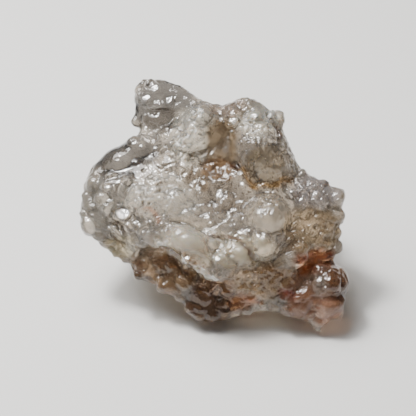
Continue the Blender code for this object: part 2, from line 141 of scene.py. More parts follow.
# Lumps that can be told apart on the growth face: across, up, radius, and for long ones radius up, all mm
lumps = {
    "horn": [
        (-8.1, 15.1, 0.8), (-8.6, 13.5, 0.9), (-7.4, 14.6, 0.75), (-6.5, 14.9, 0.6), (-5.6, 13.3, 0.75),
        (-4.9, 13.5, 0.5), (-3.6, 13.1, 0.75), (-4.0, 14.1, 0.6), (-9.8, 10.6, 0.8),
    ],
    "shoulder": [
        (-10.1, 7.75, 1.0), (-9.3, 7.4, 0.8), (-9.6, 5.0, 0.8),
    ],
    "left end": [
        (-16.0, 1.0, 0.8), (-15.2, -0.1, 0.8), (-13.4, 2.2, 0.9), (-15.0, 2.5, 1.2), (-13.9, 0.6, 1.3),
        (-15.6, -2.5, 1.2), (-14.4, -3.5, 1.1), (-16.2, -1.2, 0.8), (-12.9, -5.2, 0.7), (-12.2, -6.0, 0.7),
        (-11.2, -6.6, 0.7), (-10.5, -2.6, 0.9), (-9.9, -4.1, 1.0), (-9.0, -3.4, 0.8), (-7.4, -4.4, 1.0),
        (-9.0, -4.6, 0.8),
    ],
    "band": [
        (-9.4, 1.2, 1.3), (-8.1, 0.2, 0.9), (-10.2, 0.0, 0.9), (-6.2, 1.9, 0.9), (-4.6, 1.0, 1.0),
        (-5.9, -0.1, 0.6), (-11.2, 1.9, 1.2), (-7.9, 2.4, 0.9), (-12.9, 3.4, 0.8), (-2.5, -1.0, 1.0),
        (-3.5, 0.0, 0.8), (-1.9, 0.6, 0.8), (-0.4, -2.0, 0.9), (0.4, -1.1, 0.7), (1.6, -1.7, 0.9),
        (1.4, 0.6, 1.0), (3.1, 0.0, 0.9), (2.9, -2.1, 0.8), (4.4, 0.9, 0.8), (3.5, 2.1, 0.8),
        (-1.2, -0.25, 0.6),
    ],
    "shelf": [
        (-4.4, -3.75, 1.1), (-0.9, -5.0, 1.3), (0.9, -6.9, 1.2), (3.1, -6.0, 1.3),
        (-1.2, -7.1, 1.0), (-3.1, -6.2, 1.0), (0.2, -8.1, 1.0), (1.9, -7.5, 0.7),
    ],
    "bulge": [
        (7.5, -3.4, 1.2), (5.4, -3.75, 0.8), (8.75, -1.6, 1.0),
    ],
    "right end": [
        (9.75, 1.25, 1.0), (10.9, 0.25, 0.8), (12.9, 0.25, 1.1), (12.1, 2.25, 0.9), (13.5, 2.4, 0.8),
        (15.25, -1.25, 1.0), (10.4, -1.25, 0.8), (11.6, -1.0, 0.6), (15.1, -3.4, 0.8),
        (15.1, -5.25, 0.9), (10.1, -4.0, 0.6), (10.75, -3.4, 0.5), (12.9, -2.5, 0.8), (13.9, -3.4, 0.7),
        (11.0, -1.9, 1.2), (13.8, -1.6, 1.1), (13.4, -5.0, 1.0), (10.9, -4.9, 1.1),
        (11.5, -2.9, 0.7), (11.9, -4.4, 0.8), (10.4, -5.4, 1.0), (9.6, -6.6, 1.1),
    ],
    "basin": [
        (-1.25, 6.0, 1.0), (-2.1, 3.75, 1.0),
        (-1.25, 2.25, 1.1), (-2.75, 2.0, 0.8), (1.25, 2.5, 1.0), (-0.25, 3.1, 0.8),
        (-0.6, 4.5, 0.9), (0.7, 4.9, 0.8), (0.6, 3.9, 0.8), (1.9, 4.1, 0.8), (1.7, 5.2, 0.6),
    ],
    "upper left": [
        (-1.5, 11.25, 1.2), (-2.5, 9.4, 1.1), (-3.6, 7.4, 1.1), (-3.75, 4.6, 1.0), (-5.25, 8.75, 0.9),
        (-4.0, 5.6, 0.8), (-5.9, 4.4, 0.9), (-6.1, 6.9, 0.9), (-1.9, 7.75, 0.8), (-0.25, 10.4, 0.8),
        (-5.0, 6.2, 0.7),
    ],
    "dome": [
        (3.75, 12.1, 1.4), (2.25, 10.4, 0.9), (5.0, 10.6, 1.1), (6.9, 11.0, 0.9), (7.75, 10.1, 0.8),
        (5.9, 9.4, 0.7), (6.9, 8.9, 0.8), (4.1, 9.1, 0.9), (2.5, 8.6, 0.6), (5.0, 8.4, 0.6), (5.0, 7.5, 0.5),
        (6.1, 7.1, 0.7), (7.25, 8.0, 0.5), (8.1, 7.1, 0.7), (8.75, 6.25, 0.7), (7.9, 6.0, 0.6),
        (9.4, 5.4, 0.5), (9.5, 4.1, 0.5), (6.6, 6.25, 0.6),
        (5.9, 2.9, 1.2), (10.6, 3.75, 0.9), (11.25, 4.4, 0.8), (10.1, 5.25, 0.7),
    ],
    "lower middle": [
        (3.75, -8.1, 0.9), (5.4, -8.75, 0.8), (7.6, -8.75, 0.9), (7.1, -10.4, 0.9), (4.6, -11.4, 0.9),
        (8.75, -9.75, 0.9), (5.9, -12.1, 0.9), (5.0, -7.1, 0.8), (6.9, -7.1, 0.8), (3.1, -10.0, 0.9),
        (10.25, -9.4, 0.7), (9.4, -8.1, 0.8), (1.6, -10.6, 1.0), (2.5, -9.1, 0.8),
    ],
    "rusty": [
        (13.1, -8.4, 1.2), (14.0, -9.75, 1.1), (12.75, -9.75, 0.8), (15.6, -9.6, 1.1), (14.9, -7.9, 0.8),
        (12.9, -14.4, 0.9), (12.9, -15.5, 0.5), (10.6, -12.5, 1.1), (9.1, -12.9, 1.0),
        (9.0, -11.25, 0.9), (11.25, -11.0, 1.0), (15.4, -11.9, 0.8), (11.9, -13.4, 0.9),
    ],
    "undershelf": [
        (-8.75, -7.25, 1.1), (-9.4, -8.5, 0.9), (-6.5, -7.6, 1.0),
        (-4.6, -8.1, 0.9), (-3.75, -9.75, 0.9), (-6.9, -9.0, 0.8), (-4.4, -11.25, 0.8), (-1.25, -9.75, 0.9),
        (0.1, -9.75, 0.9), (-1.25, -11.6, 1.1), (-2.75, -12.75, 1.1), (-0.25, -13.5, 1.1), (0.9, -12.25, 1.0),
        (2.6, -12.6, 1.1), (4.0, -12.9, 0.9), (-1.9, -13.75, 0.8),
    ],
}

# Fillings where the stone is one smooth form: across, up, out and three half sizes, mm
fillings = {
    "side of the horn": (-9.35, 11.9, -3.2, 0.8, 1.3, 0.8),
    "foot of the horn": (-7.3, 10.9, -2.7, 2.2, 1.4, 1.3),
}

# Beds of small beads: across, up, reach across, reach up, how many, smallest and largest radius, mm
beadBeds = {
    "horn": (-6.5, 13.8, 3.6, 2.0, 14, 0.40, 0.80),
    "band left": (-8.0, 1.5, 5.5, 2.6, 46, 0.35, 0.85),
    "band middle": (0.0, 0.3, 6.0, 2.8, 46, 0.35, 0.80),
    "upper left": (-3.5, 7.8, 3.0, 4.2, 30, 0.35, 0.80),
    "dome crown": (4.8, 10.0, 4.2, 3.2, 40, 0.30, 0.70),
    "bulge crown": (6.6, 0.4, 2.3, 1.0, 14, 0.20, 0.40),
    "right end": (12.0, 1.2, 2.6, 2.0, 16, 0.35, 0.70),
    "right middle": (12.3, -3.2, 3.4, 2.6, 50, 0.25, 0.60),
    "lower middle": (6.0, -9.5, 4.5, 2.4, 40, 0.35, 0.80),
    "lower right": (11.5, -12.0, 4.5, 2.5, 30, 0.40, 0.90),
    "undershelf": (-6.5, -8.5, 4.0, 2.6, 30, 0.40, 0.90),
    "amber bottom": (-0.5, -12.2, 3.5, 2.2, 12, 0.50, 0.95),
    "shelf middle": (1.5, -7.0, 2.6, 2.4, 16, 0.35, 0.70),
    "left end": (-14.0, -1.0, 2.6, 3.0, 8, 0.50, 0.90),
    "basin floor": (0.6, 4.3, 2.2, 1.3, 16, 0.30, 0.55),
}
beads = {
    "rise": 0.2,  # how far a bead stands out, as a share of its radius
    "fewLarge": 1.6,  # above 1, small beads outnumber large ones
    "long": (0.9, 1.9),  # length and height, as shares of the radius
    "high": (0.7, 1.0),
    "facing": 0.3,
}
unseenBeads = {  # on the back and underside
    "count": 300,
    "radius": (0.6, 1.6),
    "fewLarge": 2,
    "long": (0.9, 1.7),
    "high": (0.7, 1.0),
    "facing": -0.25,
    "lowest": 1.2 * mm,
    "seed": 29,
}


def coordinates(mesh):
    values = np.empty(len(mesh.vertices) * 3, np.float32)
    mesh.vertices.foreach_get("co", values)
    return values.reshape(-1, 3)


def normals(mesh):
    values = np.empty(len(mesh.vertices) * 3, np.float32)
    mesh.vertex_normals.foreach_get("vector", values)
    return values.reshape(-1, 3)


def onFace(points):
    away = (points - np.array(face["middle"])) / mm
    return away @ np.array(face["across"]), away @ np.array(face["up"]), away @ np.array(face["out"])


def smoothCopyOfSolid():
    deselectAll()
    node = frame["nodes"]["hyalite_mass"]
    makeActive(node)
    bpy.ops.object.duplicate()
    piece = bpy.context.object
    bpy.ops.object.parent_clear(type="CLEAR_KEEP_TRANSFORM")
    for name in list(piece.keys()):
        if name.startswith("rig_"):
            del piece[name]
    piece.name = piece.data.name = "opal"
    piece.data.materials.clear()
    bpy.ops.object.mode_set(mode="EDIT")
    bpy.ops.mesh.select_all(action="SELECT")
    bpy.ops.mesh.remove_doubles(threshold=opal["mergeDistance"])
    bpy.ops.object.mode_set(mode="OBJECT")
    applyModifier(piece, "REMESH", mode="VOXEL", voxel_size=opal["startVoxel"])
    soft = piece.vertex_groups.new(name="soft")
    soft.add(range(len(piece.data.vertices)), 1.0, "REPLACE")
    across, up, _ = onFace(coordinates(piece.data))
    for a, b, reach in tips.values():
        near = np.nonzero(np.hypot(across - a, up - b) < reach)[0].tolist()
        soft.add(near, opal["tipSoftness"], "REPLACE")
    applyModifier(piece, "SMOOTH", factor=opal["softening"], iterations=opal["startRounds"],
                  vertex_group="soft")
    piece.vertex_groups.clear()
    return piece


def beadModel(detail):
    deselectAll()
    bpy.ops.mesh.primitive_ico_sphere_add(subdivisions=detail, radius=1.0)
    model = bpy.context.object
    model.name = "bead model"
    return model


def hitFace(skin, across, up):
    spot, normal, *_ = skin.ray_cast(faceSpot(across, up, face["wellInFront"]), -face["out"])
    return spot, normal


def lumpSpots(skin):
    # Where each lump goes: middle, three half sizes and turn
    spots = []
    faceTurn = Matrix((face["across"], face["up"], face["out"])).transposed().to_4x4()
    for group in lumps.values():
        for across, up, radius, *rest in group:
            spot, normal = hitFace(skin, across, up)
            if spot is None or normal.dot(face["out"]) < opal["lumpFacing"]:
                continue
            radiusUp = rest[0] if rest else radius
            depth = opal["lumpDepth"] * min(radius, radiusUp)
            middle = spot - face["out"] * depth * (1 - opal["lumpRise"]) * mm
            spots.append((middle, (radius, radiusUp, depth), faceTurn))
    for across, up, out, *sizes in fillings.values():
        spots.append((faceSpot(across, up, out), sizes, faceTurn))
    return spots


def beadShape(dice, radius, kind):
    sizes = (radius * dice.uniform(*kind["long"]), radius, radius * dice.uniform(*kind["high"]))
    return sizes, Euler([dice.uniform(0, 2 * math.pi) for _ in range(3)]).to_matrix().to_4x4()


def sunkIn(spot, normal, radius):
    return spot - normal * radius * (1 - beads["rise"]) * mm


def beadSpots(skin):
    spots = []
    dice = random.Random(opal["seed"])
    for across, up, reachAcross, reachUp, count, smallest, largest in beadBeds.values():
        for _ in range(count):
            angle = dice.uniform(0, 2 * math.pi)
            share = math.sqrt(dice.random())
            radius = smallest + (largest - smallest) * dice.random() ** beads["fewLarge"]
            sizes, turn = beadShape(dice, radius, beads)
            spot, normal = hitFace(
                skin, across + reachAcross * share * math.cos(angle), up + reachUp * share * math.sin(angle)
            )
            if spot is not None and normal.dot(face["out"]) > beads["facing"]:
                spots.append((sunkIn(spot, normal, radius), sizes, turn))
    return spots


def unseenSpots(faces):
    spots = []
    dice = random.Random(unseenBeads["seed"])
    smallest, largest = unseenBeads["radius"]
    while len(spots) < unseenBeads["count"]:
        centre, normal = faces[dice.randrange(len(faces))]
        radius = smallest + (largest - smallest) * dice.random() ** unseenBeads["fewLarge"]
        if normal.dot(face["out"]) > unseenBeads["facing"] or centre.z < unseenBeads["lowest"]:
            continue
        sizes, turn = beadShape(dice, radius, unseenBeads)
        spots.append((sunkIn(centre, normal, radius), sizes, turn))
    return spots


def copiesOf(model, spots):
    made = []
    for middle, sizes, turn in spots:
        bead = model.copy()
        bead.data = model.data.copy()
        scale = Matrix.Diagonal((*[size * mm for size in sizes], 1.0))
        bead.matrix_world = Matrix.Translation(middle) @ turn @ scale
        made.append(bead)
    for bead in made:
        bpy.context.collection.objects.link(bead)
    return made


piece = smoothCopyOfSolid()
print("smooth copy of the solid:", len(piece.data.polygons), "faces")
skin = BVHTree.FromPolygons([v.co for v in piece.data.vertices], [p.vertices for p in piece.data.polygons])
faces = [(p.center.copy(), p.normal.copy()) for p in piece.data.polygons]
roundLump = beadModel(3)
smallBead = beadModel(2)
made = copiesOf(roundLump, lumpSpots(skin))
made += copiesOf(smallBead, beadSpots(skin) + unseenSpots(faces))
deselectAll()
roundLump.select_set(True)
smallBead.select_set(True)
bpy.ops.object.delete()
makeActive(piece)
for bead in made:
    bead.select_set(True)
bpy.ops.object.join()
print("lumps and beads:", len(made))

applyModifier(piece, "REMESH", mode="VOXEL", voxel_size=opal["voxel"])
applyModifier(piece, "SMOOTH", factor=opal["softening"], iterations=opal["lumpRounds"])
print("one skin:", len(piece.data.polygons), "faces")


def averaged(mesh, values, rounds):
    # Each point goes halfway to the mean of its neighbours, as many times as rounds says
    ends = np.empty(len(mesh.edges) * 2, np.int32)
    mesh.edges.foreach_get("vertices", ends)
    first, second = ends[0::2], ends[1::2]
    count = len(mesh.vertices)
    near = np.bincount(first, minlength=count) + np.bincount(second, minlength=count)
    near = np.maximum(near, 1)
    result = values.astype(np.float64).copy()
    for _ in range(rounds):
        for column in range(result.shape[1]):
            line = result[:, column]
            total = np.bincount(first, line[second], count) + np.bincount(second, line[first], count)
            result[:, column] = 0.5 * line + 0.5 * total / near
    return result


def steps(values, low, high):
    share = np.clip((values - low) / (high - low), 0, 1)
    return share * share * (3 - 2 * share)


# The face's own forms and colours fade out towards the back, between these
fades = {
    "turned": (-0.1, 0.25),  # how squarely the skin faces the front
    "zones": (-6.0, -3.0),  # mm out from the face's middle
    "veins": (-7.0, -5.0),
}


def within(across, up, zone, edge):
    # 1 inside a zone and 0 outside; edge says where it starts and ends to fade, as shares of the reach
    a, b, reachAcross, reachUp = zone[:4]
    return 1 - steps(np.hypot((across - a) / reachAcross, (up - b) / reachUp), *edge)


# Creases, ridges and lips across the face: path in mm across and up, half width, height (below 0 is cut in)
lines = {
    "shelf lip": ([(-6.9, -4.75), (-6.0, -4.7), (-5.6, -5.6), (-4.4, -6.4), (-3.5, -7.4), (-2.9, -8.1),
                   (-2.2, -8.25), (-1.2, -8.75), (0.0, -9.1), (1.6, -9.4)], 0.26, 0.40),
    "under the shelf": ([(-5.9, -6.3), (-4.9, -7.1), (-4.0, -8.1), (-3.1, -9.0), (-1.4, -9.5)], 0.35, -0.5),
    "shelf crease": ([(-5.4, -1.9), (-3.1, -2.25), (-0.6, -4.0), (0.8, -3.9)], 0.24, -0.3),
    "cream arc": ([(0.8, -3.9), (1.3, -4.0), (3.1, -4.4), (4.1, -5.3), (4.6, -6.5)], 0.22, -0.3),
    "dome foot": ([(3.1, 4.4), (4.6, 2.4), (6.9, 2.9), (9.4, 3.1)], 0.24, -0.25),
    "dome rim": ([(5.2, 2.2), (6.2, 2.5)], 0.2, 0.15),
    "right crack": ([(14.1, -0.2), (15.0, -0.4), (15.9, -0.6)], 0.22, -0.4),
    "dark spot": ([(0.8, -3.8), (1.2, -4.4)], 0.35, -0.45),
    "pit": ([(2.4, 5.1), (2.7, 4.8)], 0.3, -0.6),
    "slit": ([(7.9, 9.2), (8.1, 8.3)], 0.22, -0.5),
    "glint ridge": ([(8.6, -4.4), (9.3, -4.0), (10.0, -3.7)], 0.22, 0.25),
    "blade": ([(-13.0, -2.9), (-12.1, -3.6), (-11.2, -4.3)], 0.2, 0.3),
    "blade shade": ([(-13.1, -3.4), (-12.3, -4.1), (-11.4, -4.8)], 0.2, -0.3),
    "cleft rim": ([(10.4, -7.4), (11.4, -6.5), (12.2, -5.9), (13.2, -5.7)], 0.26, 0.25),
}


def pathDistance(across, up, path):
    nearest = np.full(len(across), 1e9)
    for (a, b), (c, d) in zip(path, path[1:]):
        along = np.clip(((across - a) * (c - a) + (up - b) * (d - b)) / ((c - a) ** 2 + (d - b) ** 2), 0, 1)
        nearest = np.minimum(nearest, np.hypot(across - a - along * (c - a), up - b - along * (d - b)))
    return nearest


def sculptLines(piece):
    mesh = piece.data
    points, outward = coordinates(mesh), normals(mesh)
    across, up, _ = onFace(points)
    facing = steps(outward @ np.array(face["out"]), *fades["turned"])
    moved = np.zeros(len(points))
    for a, b, reachAcross, reachUp, height in swells.values():
        near = np.clip(1 - ((across - a) / reachAcross) ** 2 - ((up - b) / reachUp) ** 2, 0, 1)
        moved += height * near ** opal["swellEdge"]
    for path, width, height in lines.values():
        moved += height * np.exp(-((pathDistance(across, up, path) / width) ** 2))
    points = points + outward * (moved * facing * mm)[:, None]
    mesh.vertices.foreach_set("co", points.astype(np.float32).ravel())
    mesh.update()


sculptLines(piece)


# Fine unevenness: where the skin is smoother or rougher, then the grain itself
smoothZones = {  # across, up, reach across, reach up, mm
    "shoulder": (-11.8, 6.3, 3.6, 2.2),
    "bulge": (6.8, -2.3, 1.4, 0.9),
    "shelf lobe": (-2.3, -4.7, 2.6, 1.2),
    "left rim, upper": (-15.0, 1.5, 1.6, 2.2),
    "left rim, lower": (-15.2, -3.0, 1.6, 1.8),
    "basin": (0.6, 8.0, 1.8, 1.8),
    "shelf right": (3.1, -6.1, 0.9, 0.9),
    "round lobe": (5.9, -5.1, 1.3, 1.2),
    "right end": (15.0, 0.8, 1.4, 1.2),
    "left lobe": (-7.4, -4.4, 0.9, 0.9),
    "lower lobe": (14.4, -12.5, 1.2, 1.1),
    "amber lobe": (-1.0, -12.5, 2.4, 1.2),
}
crinkledZones = {
    "right middle": (12.3, -3.4, 3.0, 2.6),
    "right top": (12.2, 1.8, 2.6, 1.5),
    "band": (-7.5, 1.5, 3.6, 1.8),
    "middle": (1.0, -1.4, 3.0, 1.3),
    "bulge crown": (6.6, 0.2, 2.0, 0.8),
    "dome crown": (4.6, 9.6, 3.4, 2.2),
    "upper left": (-3.2, 7.2, 2.2, 3.6),
    "lower middle": (5.5, -9.5, 3.6, 2.0),
}
grains = {  # size and strength, mm
    "drift": (1.4, 0.9),  # how far the patterns below are pushed about
    "fold": (1.9, 0.14),
    "ripple": (0.9, 0.12),
    "crinkle": (0.5, 0.06),
}
grainLevels = {
    "smoothed": 0.85,  # how much grain a smooth zone loses, and a crinkled one gains
    "crinkled": 0.7,
    "smoothEdge": (0.8, 1.3),
    "crinkledEdge": (0.6, 1.2),
    "foldMiddle": 0.3,  # these keep the skin's mean height
    "ridgeMiddle": 0.4,
}
streaks = {  # fine furrows that run up the dome
    "place": (5.8, 5.6, 3.6, 3.6),  # across, up, reach across, reach up, mm
    "edge": (0.6, 1.1),
    "width": 0.5,
    "length": 3.0,
    "height": 0.08,
}
thinning = {  # the back gets fewer triangles
    "levels": 10,
    "least": 0.04,
    "turned": (-0.35, 0.05),
    "depthShare": 0.05,
}


def ridges(spot):
    return grainLevels["ridgeMiddle"] - 2 * abs(noise.noise(spot))


def markForThinning(piece, outward, out):
    group = piece.vertex_groups.new(name="seen from behind")
    behind = 1 - steps(outward @ np.array(face["out"]) + thinning["depthShare"] * out, *thinning["turned"])
    levels, least = thinning["levels"], thinning["least"]
    for step in range(levels + 1):
        chosen = np.nonzero(np.round(behind * levels) == step)[0].tolist()
        if chosen:
            group.add(chosen, least + (1 - least) * step / levels, "REPLACE")


def addGrain(piece):
    mesh = piece.data
    points, outward = coordinates(mesh), normals(mesh)
    across, up, out = onFace(points)
    inFront = steps(out, *fades["zones"])
    rough = np.ones(len(points))
    for zone in smoothZones.values():
        calm = grainLevels["smoothed"] * within(across, up, zone, grainLevels["smoothEdge"]) * inFront
        rough = np.minimum(rough, 1 - calm)
    for zone in crinkledZones.values():
        rough += grainLevels["crinkled"] * within(across, up, zone, grainLevels["crinkledEdge"]) * inFront
    onDome = within(across, up, streaks["place"], streaks["edge"]) * inFront
    height = np.empty(len(points))
    (driftSize, drift), (fold, foldHigh), (ripple, rippleHigh), (crinkle, crinkleHigh) = grains.values()
    for number, point in enumerate((points / mm).tolist()):
        spot = Vector(point)
        spot += noise.noise_vector(spot / driftSize) * drift
        cells = noise.voronoi(spot / fold, distance_metric="DISTANCE_SQUARED")[0][0]
        folds = grainLevels["foldMiddle"] - cells
        ripples = ridges(spot / ripple)
        height[number] = folds * foldHigh + ripples * rippleHigh + ridges(spot / crinkle) * crinkleHigh
        if onDome[number] > 0:
            along = (across[number] / streaks["width"], up[number] / streaks["length"], 0)
            furrow = noise.noise(Vector(along))
            height[number] += (furrow * streaks["height"] - ripples * rippleHigh) * onDome[number]
    moved = points + outward * (height * rough * mm)[:, None]
    mesh.vertices.foreach_set("co", moved.astype(np.float32).ravel())
    mesh.update()
    markForThinning(piece, outward, out)


addGrain(piece)
applyModifier(piece, "SMOOTH", factor=opal["softening"], iterations=opal["grainRounds"])
print("folds and grain set")


# Small flat faces that catch the lamp: across, up and radius in mm, and for long ones stretch and turn
glints = {
    "horn": [
        (-7.5, 14.6, 0.42), (-8.6, 13.5, 0.45), (-7.9, 15.25, 0.25), (-5.75, 13.25, 0.36), (-5.0, 13.5, 0.2),
    ],
    "shoulder": [(-10.1, 7.75, 0.26), (-9.25, 7.4, 0.26), (-12.25, 5.6, 0.22)],
    "left end": [(-15.25, 0.0, 0.3), (-13.4, 2.25, 0.3), (-11.4, -1.1, 0.8)],
    "band": [
        (-9.3, 2.7, 0.20, 1.6, 60), (-8.7, 2.1, 0.18, 1.8, 20), (-9.8, 2.2, 0.14), (-8.2, 0.8, 0.20, 1.6, 70),
        (-7.9, 0.1, 0.16, 1.6, 10), (-8.7, 0.3, 0.14), (-6.9, 2.5, 0.14, 2.0, 30), (-6.2, 2.0, 0.14, 1.8, 0),
        (-5.3, 1.4, 0.15, 2.0, 50), (-5.8, 0.8, 0.13, 1.8, 20), (-5.1, 0.4, 0.13, 2.0, 60),
        (-10.6, 1.2, 0.14),
    ],
    "upper left": [
        (-4.75, 9.1, 0.25), (-1.9, 11.0, 0.25), (-3.9, 7.25, 0.24), (-4.1, 5.0, 0.24), (-3.75, 3.75, 0.3),
    ],
    "dome": [(2.25, 10.4, 0.42), (1.75, 10.0, 0.2), (2.1, 11.4, 0.25), (6.75, 11.1, 0.32), (3.9, 9.75, 0.22)],
    "bulge": [
        (5.6, 0.1, 0.13, 2.4, 15), (6.6, 0.1, 0.15, 2.0, 0), (7.5, 0.0, 0.13, 2.2, -15),
        (6.1, -0.5, 0.11, 2.0, 25), (7.1, -0.6, 0.11, 2.0, -10),
    ],
    "middle": [(-0.9, -1.5, 0.25), (-0.6, -2.1, 0.25), (5.25, -3.75, 0.22), (5.25, -0.9, 0.22)],
    "shelf": [
        (-3.4, -6.5, 0.35), (-2.25, -8.0, 0.35), (0.25, -6.6, 0.3), (2.1, -6.25, 0.25), (-9.0, -4.4, 0.2),
    ],
    "right end": [
        (15.25, 0.75, 0.26), (12.4, 2.4, 0.2), (12.1, 0.75, 0.2), (14.9, -5.25, 0.26),
        (9.0, -4.2, 0.16, 2.4, 35), (9.8, -3.6, 0.13, 2.4, 40), (10.4, -4.4, 0.12, 1.8, 60),
        (11.2, -3.2, 0.12), (12.6, -2.9, 0.12, 1.8, 10),
    ],
    "glossy crown": [
        (12.9, -9.2, 0.26, 2.0, 55), (13.6, -8.4, 0.18, 2.2, 45), (14.2, -8.1, 0.14, 2.4, 40),
        (13.7, -10.1, 0.18, 2.4, 35), (13.3, -10.6, 0.14, 2.0, 30), (12.7, -10.2, 0.14, 2.2, 60),
    ],
    "shelf edge": [
        (-6.4, -4.9, 0.13, 2.2, 0), (-5.7, -5.6, 0.14, 2.0, -50), (-4.9, -6.2, 0.14, 2.4, -40),
        (-4.2, -6.7, 0.13, 2.0, -50), (-3.6, -7.4, 0.15, 2.0, -50), (-2.9, -8.0, 0.14, 2.2, -30),
        (-2.0, -8.3, 0.13, 2.4, -15), (-1.1, -8.7, 0.15, 2.0, -20), (-0.2, -8.9, 0.13, 2.2, -5),
        (-2.5, -7.2, 0.16, 1.8, 70), (-1.5, -7.7, 0.15, 1.8, 60), (0.6, -8.6, 0.14, 2.0, 30),
    ],
}
glintCut = {
    "facing": Vector((-0.21, 0.45, 0.87)),  # across, up, out
    "wobble": 0.05,
    "usual": (1.2, 30),  # stretch and turn in degrees
    "edge": (0.75, 1.5),
    "reach": 1.6,
    "deepest": 1.2,  # mm that a point may be moved in or out
    "turned": 0.1,
}


def cutGlints(piece):
    mesh = piece.data
    points, outward = coordinates(mesh), normals(mesh)
    across, up, out = onFace(points)
    facing = outward @ np.array(face["out"]) > glintCut["turned"]
    skin = BVHTree.FromPolygons([v.co for v in mesh.vertices], [p.vertices for p in mesh.polygons])
    dice = random.Random(opal["seed"] + 1)
    wobble = glintCut["wobble"]
    lifted = np.zeros(len(points))
    for group in glints.values():
        for a, b, radius, *rest in group:
            stretch, turn = rest or glintCut["usual"]
            spot, _ = hitFace(skin, a, b)
            tilt = Vector((dice.uniform(-wobble, wobble), dice.uniform(-wobble, wobble), 0))
            tilt += glintCut["facing"]
            if spot is None:
                continue
            level = (spot - face["middle"]).dot(face["out"]) / mm
            near = np.nonzero(facing & (np.hypot(across - a, up - b) < glintCut["reach"] * radius * stretch)
                              & (np.abs(out - level) < glintCut["deepest"]))[0]
            c, s = math.cos(math.radians(turn)), math.sin(math.radians(turn))
            along = (across[near] - a) * c + (up[near] - b) * s
            aside = (up[near] - b) * c - (across[near] - a) * s
            reach = np.hypot(along / stretch, aside) / radius
            share = 1 - steps(reach, *glintCut["edge"])
            plane = level - (tilt.x * (across[near] - a) + tilt.y * (up[near] - b)) / tilt.z
            lifted[near] = lifted[near] * (1 - share) + (plane - out[near]) * share
    points = points + np.array(face["out"]) * (lifted * mm)[:, None]
    mesh.vertices.foreach_set("co", points.astype(np.float32).ravel())
    mesh.update()


cutGlints(piece)
print("flat faces cut")


def finishSkin(piece):
    applyModifier(piece, "TRIANGULATE")
    triangles = len(piece.data.polygons)
    if triangles > opal["mostTriangles"]:
        applyModifier(piece, "DECIMATE", ratio=opal["mostTriangles"] / triangles,
                      vertex_group="seen from behind", vertex_group_factor=1.0)
    piece.vertex_groups.clear()
    makeActive(piece)
    bpy.ops.object.mode_set(mode="EDIT")
    bpy.ops.mesh.select_all(action="SELECT")
    bpy.ops.mesh.bisect(plane_co=(0, 0, 0), plane_no=(0, 0, 1), clear_inner=True, use_fill=True,
                        threshold=opal["cutTolerance"])
    bpy.ops.object.mode_set(mode="OBJECT")
    bpy.ops.object.shade_smooth()
    lowest = min(v.co.z for v in piece.data.vertices)
    print("finished skin:", len(piece.data.polygons), "faces, lowest", lowest)


finishSkin(piece)


